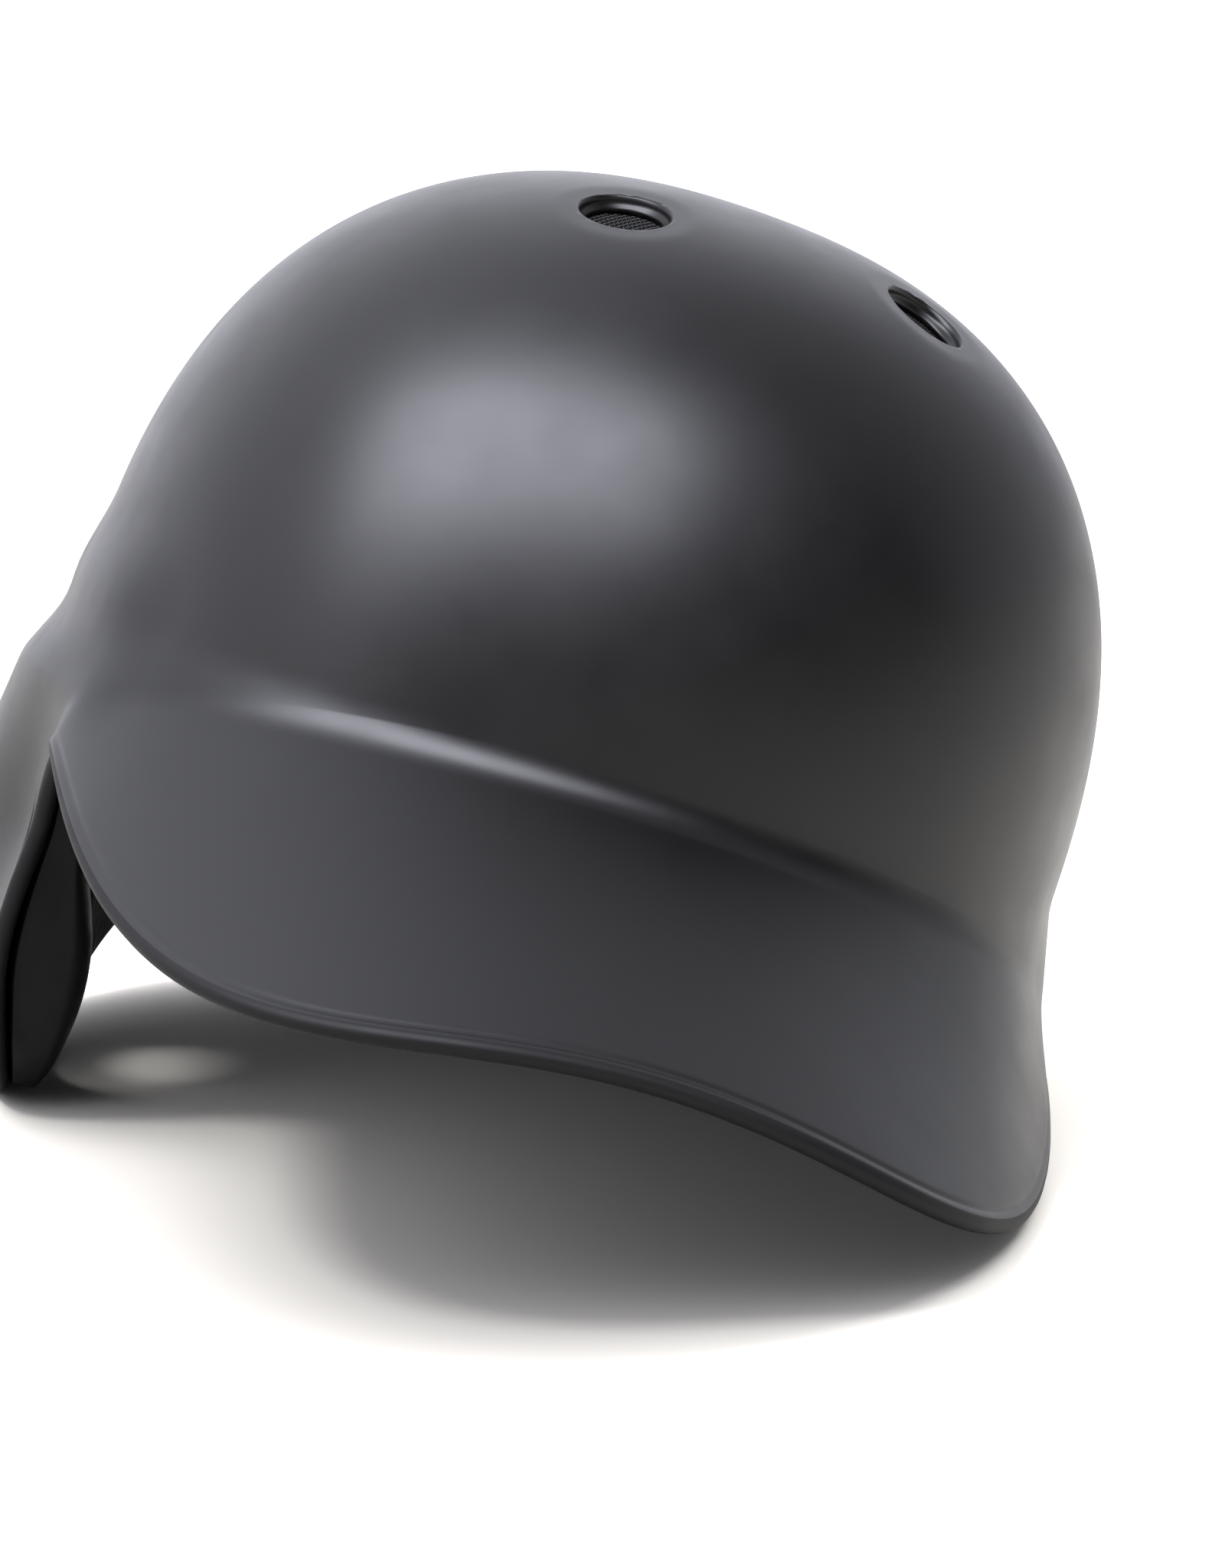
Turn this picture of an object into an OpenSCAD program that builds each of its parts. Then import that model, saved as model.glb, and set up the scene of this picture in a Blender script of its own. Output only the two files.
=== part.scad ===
// Batting helmet with a short brim and one ear flap on the wearer's right.
// The helmet is drawn upright, crown up and brim towards -Y, with z = 0 at the
// middle of the brim root. at_rest() then lays it on its flap, rim and brim.

/* [Dome] */
// Half width of the dome at the brim root
dome_half_w = 105; // [100:1:110]
// Half length of the dome in front of the ears
dome_front = 105; // [100:1:110]
// Half length of the dome behind the ears
dome_back = 132; // [124:1:138]
// Height of the crown above the brim root
crown_h = 115.7; // [110:0.1:122]
// Wall thickness of the moulded shell
shell_t = 3.8; // [3:0.1:4.5]

/* [Brim] */
// Length of the brim from its root
brim_len = 73; // [60:1:80]
// Droop of the brim below level
brim_droop = 31.4; // [25:0.1:36]
// How far the brim's corners arch down
brim_arch = 32.8; // [24:0.1:38]
// Drop of the brim root from the forehead to the notch
root_drop = 19.5; // [12:0.1:20]

/* [Vents and ear hole] */
// Radius of a vent through the shell
vent_r = 9.4; // [7:0.1:10]
// Height of the vents above the brim root
vent_z = 105.9; // [103:0.1:107]
// Bearing of the front vents from the nose
vent_turn = 37; // [32:1:42]
// Bearing of the rear vents from the nape
rear_vent_turn = 37; // [32:1:42]
// Radius of the ear hole in the flap
ear_hole_r = 15; // [11:0.5:17]

/* [Padding] */
// Thickness of the foam liner
liner_t = 8; // [6:0.5:8]
// Thickness of a comfort pad
pad_t = 8; // [6:0.5:8]
// Radius of a hook or loop disc
disc_r = 9; // [7:0.5:9]

/* [Resting attitude] */
// Lean of the crown towards the side with no flap
lean_angle = 19.3; // [18:0.1:21]
// Tilt of the brim towards the floor
nose_angle = 2.1; // [1:0.1:3]

/* [Hidden] */

// Bearings are degrees from the nose, positive towards the wearer's left
notch_turn = 71.5;     // where the brim's edge meets the flap
notch_depth = 4.5;     // brim edge below its root beside the notch
notch_drop = 5;        // how much lower the brim edge dips into the notch itself
brim_lip = 4.2;        // rim below the brim root at the forehead
dome_power = 2.37;     // superellipse power of the side profile
plan_power = 2.19;     // superellipse power of the plan
crown_shift = -4;      // the crown's highest point sits this far forward
fillet = 4.6;          // blend between the dome and the brim
edge_square = 0.53;    // how squarely the brim's corners turn in plan
edge_fall = 1.28;      // how late the brim's edge runs forward
side_flare = 0.0024;   // widening of the skirt per mm below the root
nape_tuck = 0.0011;    // narrowing of the nape per mm below the root
cup_bulge = 0.10;      // swell of the ear flap over the ear
cup_turn_in = 0.115;   // inward curl of the flap's front edge
cup_lead = 0.024;      // swell of the dome just above the ear flap

// Rim height by bearing: the flap on the right, the ear arch on the left
flap_rim = [[-180, -54], [-169, -56], [-159, -63], [-149, -75], [-139, -86], [-129, -96], [-120, -104],
            [-111, -109], [-103, -109.3], [-95, -108.5], [-88.5, -104.5], [-84, -96], [-81.8, -82],
            [-80.6, -68], [-79.8, -54], [-78.3, -43], [-75.3, -34.5], [-71.5, -29]];
free_rim = [[71.5, -29], [76, -31], [84, -32.5], [96, -33.5], [110, -35], [122, -38], [134, -42.5],
            [146, -47.5], [158, -51.5], [170, -53.5], [180, -54]];

gap = 0.4;                       // clearance between layers
liner_d = shell_t + gap;         // depth of the liner's outer face
liner_in = liner_d + liner_t;    // depth of the liner's inner face
pad_gap = 2.3;                   // room for the hook and loop discs
pad_d = liner_in + pad_gap;      // depth of a pad's outer face
disc_t = 0.7;                    // thickness of a hook or loop disc
disc_gap = 0.45;                 // hook disc below the liner's curved face
hook_gap = 0.05;                 // between a hook disc and its loop disc
ear_hole_turn = -102;            // bearing of the ear hole
ear_hole_z = -52;                // height of the ear hole
ear_pad_min = 6;                 // least thickness of the ear pad
ear_pad_round = 5;               // how far the ear pad's face rolls back at its border
ear_pad_rear = -130;             // bearing of the ear pad's rear edge above the nape

// Sideways place of the ear pad's face by height: fullest beside the jaw
ear_face = [[-110, -85], [-98, -82.5], [-84, -81.5], [-70, -83.5], [-56, -89], [-40, -94.5], [-20, -98]];
vent_step = 1.2;                 // ledge inside each vent
mesh_t = 0.5;                    // thickness of a vent mesh
mesh_r = 11.5;                   // radius of a vent mesh
mesh_gap = 0.05;                 // between the shell and a vent mesh

// ---------- curves ----------
function clamp01(x) = min(1, max(0, x));
function smooth(x) = let (c = clamp01(x)) c * c * (3 - 2 * c);
function mix(a, b, t) = a + (b - a) * t;
function unit(v) = v / norm(v);
function slope(p, i) =
    let (a = max(i - 1, 0), b = min(i + 1, len(p) - 1))
    (p[b][1] - p[a][1]) / (p[b][0] - p[a][0]);
function span(p, t, i = 0) = (i >= len(p) - 2 || t < p[i + 1][0]) ? i : span(p, t, i + 1);
function spline(p, t) =
    let (i = span(p, t), w = p[i + 1][0] - p[i][0], u = clamp01((t - p[i][0]) / w))
    (2 * u^3 - 3 * u^2 + 1) * p[i][1] + (u^3 - 2 * u^2 + u) * w * slope(p, i)
    + (3 * u^2 - 2 * u^3) * p[i + 1][1] + (u^3 - u^2) * w * slope(p, i + 1);

// ---------- outer surface ----------
function root_z(turn) = -root_drop * (turn / notch_turn)^2;
function rim_z(turn) =
    abs(turn) < notch_turn
    ? root_z(turn) - brim_lip - (notch_depth - brim_lip) * (turn / notch_turn)^4
    : spline(turn < 0 ? flap_rim : free_rim, turn);

// Widening of the plan at a height; all but the swell above the flap is below the brim root
function flare(turn, z) =
    let (a = abs(turn),
         depth = max(-z, 0),
         side = side_flare * depth * (1 - smooth((a - 90) / 70))
                - nape_tuck * depth * smooth((a - 100) / 70),
         lead = cup_lead * smooth((20 - z) / 20) * (1 - smooth((depth - 8) / 25)),
         cup = cup_bulge * sin(2 * min(depth, 115)) * smooth(depth / 20) + lead,
         curl = cup_turn_in * exp(-((a - notch_turn - 0.19 * depth) / 13)^2) * smooth(depth / 52)
                * (1 - 0.4 * smooth((depth - 45) / 40)),
         on_flap = turn < 0 ? smooth((a - 58) / 14) * (1 - smooth((a - 116) / 44)) : 0)
    mix(side, cup - curl, on_flap);

function plan_r(turn) =
    let (b = abs(turn) < 90 ? dome_front : dome_back)
    ((abs(sin(turn)) / dome_half_w)^plan_power + (abs(cos(turn)) / b)^plan_power)^(-1 / plan_power);
function wall(turn, z) =
    let (up = clamp01(z / crown_h) * 0.999999,
         k = (1 - up^dome_power)^(1 / dome_power) + flare(turn, z),
         r = plan_r(turn) * k)
    [r * sin(turn), crown_shift * up^2 - r * cos(turn), z];
function wall_normal(turn, z) =
    let (d = 0.5)
    unit(cross(wall(turn + d, z) - wall(turn - d, z), wall(turn, z + d) - wall(turn, z - d)));
function wall_at(turn, z, depth) = wall(turn, z) - depth * wall_normal(turn, z);

// The crown again, found from above instead of by bearing and height
function crown_share(x, y) =
    let (b = y < 0 ? dome_front : dome_back)
    ((abs(x) / dome_half_w)^plan_power + (abs(y) / b)^plan_power)^(1 / plan_power);
function crown_z(x, y) = crown_h * (1 - min(crown_share(x, y), 0.99)^dome_power)^(1 / dome_power);
function crown(x, y) = let (z = crown_z(x, y)) [x, y + crown_shift * (z / crown_h)^2, z];
function crown_normal(x, y) =
    let (d = 0.5)
    unit(cross(crown(x + d, y) - crown(x - d, y), crown(x, y + d) - crown(x, y - d)));
function crown_at(x, y, depth) = crown(x, y) - depth * crown_normal(x, y);

// ---------- brim ----------
function brim_root(turn) = wall(turn, root_z(turn));
function brim_edge(turn) =
    let (s = turn / notch_turn, t = (1 - abs(s)) * 90,
         corner = wall(notch_turn, -root_drop - notch_depth),
         tip = [0, -dome_front - brim_len * cos(brim_droop), -brim_len * sin(brim_droop)],
         share = cos(t)^edge_square, ahead = sin(t)^edge_fall)
    [sign(s) * corner.x * share,
     mix(corner.y, tip.y, ahead),
     mix(corner.z, tip.z, ahead) - brim_arch * share^2 * ahead - notch_drop * (1 - ahead)^6];

// ---------- shell grid ----------
dome_rows = 12;
blend_rows = 4;
skirt_rows = 9;
last_row = dome_rows + skirt_rows - 1;
turns = concat([for (a = [-180:6:-132]) a],
               [for (a = [-127.5:4.5:-91.5]) a],
               [for (a = [-88:2:-74]) a],
               [for (i = [-14:14]) notch_turn * i / 14],
               [for (i = [1:5]) notch_turn + i * (90 - notch_turn) / 5],
               [for (a = [96:6:174]) a]);
columns = len(turns);

function top_z(turn) = root_z(min(abs(turn), notch_turn)) + fillet;
function dome_point(turn, row) =
    wall(turn, mix(top_z(turn), crown_h, sin(90 * (1 - row / dome_rows))^(2 / dome_power)));
function brim_point(turn, row) =
    let (high = wall(turn, top_z(turn)), root = brim_root(turn), edge = brim_edge(turn),
         out = min(0.5, fillet / norm(edge - root)), low = mix(root, edge, out), t = row / blend_rows)
    row <= blend_rows
    ? (1 - t)^2 * high + 2 * t * (1 - t) * root + t^2 * low
    : mix(low, edge, (row - blend_rows) / (skirt_rows - blend_rows));
function skirt_point(turn, row) =
    abs(turn) < notch_turn
    ? brim_point(turn, row)
    : wall(turn, mix(top_z(turn), rim_z(turn), row / skirt_rows));
outer = [for (turn = turns)
            [for (row = [1:dome_rows + skirt_rows])
                row <= dome_rows ? dome_point(turn, row) : skirt_point(turn, row - dome_rows)]];
function grid_normal(i, j) =
    let (left = outer[(i + columns - 1) % columns], right = outer[(i + 1) % columns])
    unit(cross(outer[i][min(j + 1, last_row)] - outer[i][max(j - 1, 0)], right[j] - left[j]));
inner = [for (i = [0:columns - 1])
            [for (j = [0:last_row]) outer[i][j] - shell_t * grid_normal(i, j)]];

// ---------- rest ----------
function lean(p) =
    [p.x * cos(lean_angle) + p.z * sin(lean_angle), p.y, p.z * cos(lean_angle) - p.x * sin(lean_angle)];
function nod(p) =
    [p.x, p.y * cos(nose_angle) + p.z * sin(nose_angle), p.z * cos(nose_angle) - p.y * sin(nose_angle)];
rested = [for (column = concat(outer, inner)) for (p = column) nod(lean(p))];
function span_of(axis) = let (v = [for (p = rested) p[axis]]) [min(v), max(v)];
rest_x = span_of(0);
rest_y = span_of(1);
rest_z = span_of(2);
module at_rest() {
    translate([-(rest_x[0] + rest_x[1]) / 2, -(rest_y[0] + rest_y[1]) / 2, -rest_z[0]])
        rotate([-nose_angle, 0, 0])
            rotate([0, lean_angle, 0])
                children();
}

// ---------- solids from grids ----------
// Closed shell: two ring grids, closed at the crown and along the rim
module ring_shell(out_grid, in_grid, out_tip, in_tip) {
    n = len(out_grid);
    m = len(out_grid[0]);
    function at(i, j, side) = side * n * m + (i % n) * m + j;
    points = concat([for (c = out_grid) each c], [for (c = in_grid) each c], [out_tip, in_tip]);
    faces = concat(
        [for (i = [0:n - 1]) for (j = [0:m - 2]) each [
            [at(i, j, 0), at(i + 1, j, 0), at(i + 1, j + 1, 0)],
            [at(i, j, 0), at(i + 1, j + 1, 0), at(i, j + 1, 0)],
            [at(i, j, 1), at(i + 1, j + 1, 1), at(i + 1, j, 1)],
            [at(i, j, 1), at(i, j + 1, 1), at(i + 1, j + 1, 1)]]],
        [for (i = [0:n - 1]) each [
            [2 * n * m, at(i + 1, 0, 0), at(i, 0, 0)],
            [2 * n * m + 1, at(i, 0, 1), at(i + 1, 0, 1)],
            [at(i, m - 1, 0), at(i + 1, m - 1, 0), at(i + 1, m - 1, 1)],
            [at(i, m - 1, 0), at(i + 1, m - 1, 1), at(i, m - 1, 1)]]]);
    polyhedron(points, faces);
}

// Closed slab between two rectangular grids of the same size
module slab(far, near) {
    n = len(far);
    m = len(far[0]);
    function at(i, j, side) = side * n * m + i * m + j;
    border = concat([for (i = [0:n - 2]) [[i, 0], [i + 1, 0]]],
                    [for (j = [0:m - 2]) [[n - 1, j], [n - 1, j + 1]]],
                    [for (i = [n - 1:-1:1]) [[i, m - 1], [i - 1, m - 1]]],
                    [for (j = [m - 1:-1:1]) [[0, j], [0, j - 1]]]);
    faces = concat(
        [for (i = [0:n - 2]) for (j = [0:m - 2]) each [
            [at(i, j, 0), at(i + 1, j + 1, 0), at(i + 1, j, 0)],
            [at(i, j, 0), at(i, j + 1, 0), at(i + 1, j + 1, 0)],
            [at(i, j, 1), at(i + 1, j, 1), at(i + 1, j + 1, 1)],
            [at(i, j, 1), at(i + 1, j + 1, 1), at(i, j + 1, 1)]]],
        [for (e = border) each [
            [at(e[0][0], e[0][1], 0), at(e[1][0], e[1][1], 0), at(e[1][0], e[1][1], 1)],
            [at(e[0][0], e[0][1], 0), at(e[1][0], e[1][1], 1), at(e[0][0], e[0][1], 1)]]]);
    polyhedron(concat([for (c = far) each c], [for (c = near) each c]), faces);
}

// Steps from -1 to 1
function steps(n) = [for (i = [0:n]) 2 * i / n - 1];
// A square's point moved onto a rounded square; roundness 1 gives a disc
function rounded(u, v, roundness) =
    [u * sqrt(1 - roundness * v * v / 2), v * sqrt(1 - roundness * u * u / 2)];
// Share of full thickness: thin at the border, full in the middle
function crowned(u, v, edge) = mix(edge, 1, ((1 - u^4) * (1 - v^4))^0.5);

// Layer that follows the wall between two bearings and two heights.
// follow_rim measures the lower height from the rim instead of from the root.
module wall_layer(from, to, low, high, depth, thick, roundness = 0.5, edge = 1, follow_rim = false,
                  across = 10, down = 7) {
    function turn_at(u) = mix(from, to, (u + 1) / 2);
    function foot(turn) = low + (follow_rim ? rim_z(signed(turn)) : 0);
    function height_at(turn, v) = mix(foot(turn), high, (v + 1) / 2);
    function place(u, v, share) =
        let (p = rounded(u, v, roundness), turn = turn_at(p[0]), z = height_at(turn, p[1]))
        wall_at(signed(turn), z, depth + share * thick);
    slab([for (u = steps(across)) [for (v = steps(down)) place(u, v, 0)]],
         [for (u = steps(across)) [for (v = steps(down)) place(u, v, crowned(u, v, edge))]]);
}
function signed(turn) = turn > 180 ? turn - 360 : turn;

// Layer that follows the crown over an ellipse seen from above
module crown_layer(middle, half, depth, thick, roundness = 1, edge = 1, across = 10) {
    function place(u, v, share) =
        let (p = rounded(u, v, roundness))
        crown_at(middle.x + half.x * p[0], middle.y + half.y * p[1], depth + share * thick);
    slab([for (u = steps(across)) [for (v = steps(across)) place(u, -v, 0)]],
         [for (u = steps(across)) [for (v = steps(across)) place(u, -v, crowned(u, v, edge))]]);
}

// Ear pad: its back follows the flap, inset degrees inside the flap's front and
// rear edges, and its face follows ear_face, rounded off along the border
flap_foot = 8;      // place in flap_rim of the flap's lowest point, seen from the rear
flap_heel = 3;      // place in flap_rim where the flap's rear edge starts
function by_height(i) = [flap_rim[i][1], flap_rim[i][0]];
flap_front = [for (i = [flap_foot + 1:len(flap_rim) - 1]) by_height(i)];
flap_rear = [for (i = [flap_foot:-1:flap_heel]) by_height(i)];
module ear_pad_body(inset = 2.5, low = -105, high = -22, across = 14, down = 12) {
    function turn_at(z, u) =
        let (front = spline(flap_front, z) - inset,
             rear = max(spline(flap_rear, z) + inset, ear_pad_rear))
        mix(rear, front, (u + 1) / 2);
    function back(u, v) =
        let (p = rounded(u, v, 0.3), z = mix(low, high, (p[1] + 1) / 2))
        wall_at(turn_at(z, p[0]), z, shell_t + pad_gap);
    function face(u, v) =
        let (b = back(u, v), fullness = ((1 - u^6) * (1 - v^6))^0.5,
             x = spline(ear_face, b.z) - ear_pad_round * (1 - fullness))
        [max(x, b.x + ear_pad_min), b.y, b.z];
    slab([for (u = steps(across)) [for (v = steps(down)) back(u, v)]],
         [for (u = steps(across)) [for (v = steps(down)) face(u, v)]]);
}

// Children along the outward normal at a point of the wall, z = 0 on the surface
module along(point, normal) {
    tilt = acos(normal.z);
    heading = atan2(normal.y, normal.x);
    translate(point)
        rotate([0, tilt, heading])
            children();
}

// ---------- openings ----------
vent_bearings = [vent_turn, -vent_turn, 180 - rear_vent_turn, rear_vent_turn - 180];
vent_reach = 20;    // length of a cutter above and below the surface
module vent_cut(turn, radius) {
    along(wall(turn, vent_z), wall_normal(turn, vent_z))
        translate([0, 0, -vent_reach])
            cylinder(r = radius, h = 2 * vent_reach, $fn = 48);
}
module ear_cut(radius) {
    along(wall(ear_hole_turn, ear_hole_z), wall_normal(ear_hole_turn, ear_hole_z))
        translate([0, 0, -2 * vent_reach])
            cylinder(r = radius, h = 3 * vent_reach, $fn = 48);
}

// ---------- sub-parts ----------
module outer_shell() {
    color([0.16, 0.16, 0.17])
        difference() {
            ring_shell(outer, inner, wall(0, crown_h), wall(0, crown_h) - [0, 0, shell_t]);
            for (turn = vent_bearings)
                vent_cut(turn, vent_r);
            ear_cut(ear_hole_r);
        }
}
module foam() {
    color([0.25, 0.25, 0.27])
        children();
}
module front_liner() {
    foam() wall_layer(-50, 50, 3, 84, liner_d, liner_t, across = 12);
}
module left_liner() {
    foam() wall_layer(54, 112, 12, 84, liner_d, liner_t, roundness = 0.3, follow_rim = true);
}
module right_liner() {
    foam() wall_layer(-112, -54, -14, 84, liner_d, liner_t, roundness = 0.3);
}
module rear_liner() {
    foam() wall_layer(116, 244, 14, 84, liner_d, liner_t, roundness = 0.3, follow_rim = true, across = 16);
}
module crown_liner() {
    foam()
        difference() {
            crown_layer([0, 8], [70, 84], liner_d, liner_t, across = 12);
            for (turn = vent_bearings)
                vent_cut(turn, vent_r - vent_step);
        }
}
module cushion() {
    color([0.12, 0.12, 0.13])
        children();
}
module forehead_pad() {
    cushion() wall_layer(-36, 36, 4, 34, pad_d, pad_t, edge = 0.5, across = 12);
}
module temple_pad(side) {
    cushion() wall_layer(side * 53 - 12, side * 53 + 12, 2, 38, pad_d, pad_t, edge = 0.5, across = 7);
}
module left_temple_pad() {
    temple_pad(1);
}
module right_temple_pad() {
    temple_pad(-1);
}
module side_pad(side) {
    cushion() wall_layer(side * 90 - 18, side * 90 + 18, 10, 62, pad_d, pad_t, edge = 0.5);
}
module left_side_pad() {
    side_pad(1);
}
module right_side_pad() {
    side_pad(-1);
}
module rear_pad(side) {
    cushion() wall_layer(side * 138 - 18, side * 138 + 18, 8, 62, pad_d, pad_t, edge = 0.5);
}
module rear_left_pad() {
    rear_pad(1);
}
module rear_right_pad() {
    rear_pad(-1);
}
module nape_pad() {
    cushion() wall_layer(150, 210, -32, 0, pad_d, pad_t, edge = 0.5, across = 12);
}
module crown_pad() {
    cushion() crown_layer([0, 6], [30, 40], pad_d, pad_t, edge = 0.5);
}
module ear_pad() {
    cushion()
        difference() {
            ear_pad_body();
            ear_cut(ear_hole_r + 1);
        }
}
module vent_mesh(turn) {
    at = wall(turn, vent_z);
    color([0.05, 0.05, 0.05])
        crown_layer([at.x, at.y - crown_shift * (vent_z / crown_h)^2], [mesh_r, mesh_r],
                    shell_t + mesh_gap, mesh_t, across = 6);
}
module vent_mesh_front_left() {
    vent_mesh(vent_bearings[0]);
}
module vent_mesh_front_right() {
    vent_mesh(vent_bearings[1]);
}
module vent_mesh_rear_left() {
    vent_mesh(vent_bearings[2]);
}
module vent_mesh_rear_right() {
    vent_mesh(vent_bearings[3]);
}

// Bearing and height of each hook and loop pair on the dome, and on the flap
disc_places = [[-24, 19], [24, 19], [-53, 20], [53, 20], [-90, 22], [90, 22], [-90, 50], [90, 50],
               [-138, 20], [138, 20], [-138, 48], [138, 48], [-165, -16], [165, -16]];
flap_disc_places = [[-86, -38], [-118, -52], [-102, -84]];
crown_disc_places = [-12, 22];
module disc() {
    translate([0, 0, -disc_t])
        cylinder(r = disc_r, h = disc_t, $fn = 48);
}
// Every disc, lowered from the inner face of its liner, or of the shell in the flap
module discs(lower) {
    for (p = disc_places)
        along(wall_at(p[0], p[1], liner_in + lower), wall_normal(p[0], p[1]))
            disc();
    for (p = flap_disc_places)
        along(wall_at(p[0], p[1], shell_t + lower), wall_normal(p[0], p[1]))
            disc();
    for (y = crown_disc_places)
        along(crown_at(0, y, liner_in + lower), crown_normal(0, y))
            disc();
}
module hook_discs() {
    color([0.2, 0.2, 0.2])
        discs(disc_gap);
}
module loop_discs() {
    color([0.3, 0.3, 0.3])
        discs(disc_gap + disc_t + hook_gap);
}

at_rest() outer_shell();
at_rest() front_liner();
at_rest() left_liner();
at_rest() right_liner();
at_rest() rear_liner();
at_rest() crown_liner();
at_rest() forehead_pad();
at_rest() left_temple_pad();
at_rest() right_temple_pad();
at_rest() left_side_pad();
at_rest() right_side_pad();
at_rest() rear_left_pad();
at_rest() rear_right_pad();
at_rest() nape_pad();
at_rest() crown_pad();
at_rest() ear_pad();
at_rest() vent_mesh_front_left();
at_rest() vent_mesh_front_right();
at_rest() vent_mesh_rear_left();
at_rest() vent_mesh_rear_right();
at_rest() hook_discs();
at_rest() loop_discs();
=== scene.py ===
import math
import bpy
import bmesh
import numpy as np
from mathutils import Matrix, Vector


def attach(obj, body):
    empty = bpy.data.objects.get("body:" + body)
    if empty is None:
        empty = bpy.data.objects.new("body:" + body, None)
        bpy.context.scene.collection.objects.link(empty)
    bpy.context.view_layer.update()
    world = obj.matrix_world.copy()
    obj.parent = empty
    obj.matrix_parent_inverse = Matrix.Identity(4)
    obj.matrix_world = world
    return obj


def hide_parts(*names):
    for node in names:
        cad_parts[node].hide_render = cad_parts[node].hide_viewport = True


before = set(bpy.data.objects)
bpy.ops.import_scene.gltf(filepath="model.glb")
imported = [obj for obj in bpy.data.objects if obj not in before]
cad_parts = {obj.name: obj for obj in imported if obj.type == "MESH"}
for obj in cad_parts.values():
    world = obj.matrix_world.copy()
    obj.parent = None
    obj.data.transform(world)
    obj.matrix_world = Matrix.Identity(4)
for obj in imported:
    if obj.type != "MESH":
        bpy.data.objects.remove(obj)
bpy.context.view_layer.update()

MM = 0.001
DEG = math.pi / 180

# ---------------------------------------------------------------------------
# The helmet's surface, by the same rules as the CAD source. Millimetres, upright:
# brim towards -Y, crown up, z = 0 at the middle of the brim root. Bearings are
# degrees from the nose, positive towards the wearer's left.
# ---------------------------------------------------------------------------
# Dome
HALF_W = 105.0         # half width at the brim root
FRONT = 105.0          # half length in front of the ears
BACK = 132.0           # and behind them
CROWN_H = 115.7        # height above the brim root
CROWN_SHIFT = -4.0     # how far forward the crown's top is
DOME_POWER = 2.37      # fullness from the side
PLAN_POWER = 2.19      # and from above
SHELL_T = 3.8

# Brim
BRIM_LEN = 73.0
BRIM_DROOP = 31.4      # degrees below level
BRIM_ARCH = 32.8       # how far the corners arch down
ROOT_DROP = 19.5       # drop of the brim root from the forehead to the notch
NOTCH_TURN = 71.5
NOTCH_DEPTH = 4.5      # from the root's end to the notch
NOTCH_DROP = 5.0       # how far the brim's edge dips beside the notch
BRIM_LIP = 4.2         # rows under the brim root at the nose
EDGE_SQUARE = 0.53     # how square the brim is from above
EDGE_FALL = 1.28       # how early its edge falls back to the notch
FILLET = 4.6           # tangent length of the crease at the middle of the brim
FILLET_END = 2.2       # and at the notches, where the crease is shallower

# Skirt and flap
SIDE_FLARE = 0.0024    # widening of the sides, per mm below the root
NAPE_TUCK = 0.0011     # narrowing of the nape, per mm
CUP_BULGE = 0.10       # swell of the flap over the ear
CUP_TURN_IN = 0.115    # inward curl of its front edge
CUP_LEAD = 0.024       # swell above the brim root, which leads into it
CUP_RISE = 20.0        # height over which either swell comes up
CURL_WIDTH = 13.0      # degrees

# Pose
LEAN = 19.3
NOD = 2.1

# Openings
VENT_R = 8.9
VENT_Z = 105.9
VENT_TURN = 37.0
VENT_TURNS = (-VENT_TURN, VENT_TURN, VENT_TURN - 180, 180 - VENT_TURN)
EAR_HOLE_R = 15.0
EAR_HOLE_TURN = -102.0
EAR_HOLE_Z = -52.0

# Padding
LINER_T = 8.0
PAD_T = 8.0
GAP = 0.4              # between shell and liner
PAD_GAP = 2.3          # between liner and pad, taken up by the fastening discs
LINER_D = SHELL_T + GAP
LINER_IN = LINER_D + LINER_T
PAD_D = LINER_IN + PAD_GAP

# Bearing and height along the rim, and the ear pad's inner face: height and how far out it is
FLAP_RIM = [(-180, -54), (-169, -56), (-159, -63), (-149, -75), (-139, -86), (-129, -96), (-120, -104),
            (-111, -109), (-103, -109.3), (-95, -108.5), (-88.5, -104.5), (-84, -96), (-81.8, -82),
            (-80.6, -68), (-79.8, -54), (-78.3, -43), (-75.3, -34.5), (-71.5, -29)]
FREE_RIM = [(71.5, -29), (76, -31), (84, -32.5), (96, -33.5), (110, -35), (122, -38), (134, -42.5),
            (146, -47.5), (158, -51.5), (170, -53.5), (180, -54)]
EAR_FACE = [(-110, -85), (-98, -82.5), (-84, -81.5), (-70, -83.5), (-56, -89), (-40, -94.5), (-20, -98)]


def smooth(x):
    c = np.clip(x, 0, 1)
    return c * c * (3 - 2 * c)


def mix(a, b, t):
    return a + (b - a) * t


def unit(v):
    return v / np.maximum(np.linalg.norm(v, axis=-1, keepdims=True), 1e-9)


def spline(table, t):
    """Smooth curve through a table's points, with the slope of each point's neighbours."""
    x, y = np.array(table, float).T
    last = len(x) - 1
    before = np.maximum(np.arange(last + 1) - 1, 0)
    after = np.minimum(np.arange(last + 1) + 1, last)
    slope = (y[after] - y[before]) / (x[after] - x[before])
    t = np.asarray(t, float)
    i = np.clip(np.searchsorted(x, t, side="right") - 1, 0, last - 1)
    w = x[i + 1] - x[i]
    u = np.clip((t - x[i]) / w, 0, 1)
    return ((2 * u**3 - 3 * u**2 + 1) * y[i] + (u**3 - 2 * u**2 + u) * w * slope[i]
            + (3 * u**2 - 2 * u**3) * y[i + 1] + (u**3 - u**2) * w * slope[i + 1])


def root_z(turn):
    return -ROOT_DROP * (turn / NOTCH_TURN) ** 2


def rim_z(turn):
    front = root_z(turn) - BRIM_LIP - (NOTCH_DEPTH - BRIM_LIP) * (turn / NOTCH_TURN) ** 4
    side = np.where(turn < 0, spline(FLAP_RIM, turn), spline(FREE_RIM, turn))
    return np.where(np.abs(turn) < NOTCH_TURN, front, side)


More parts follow.
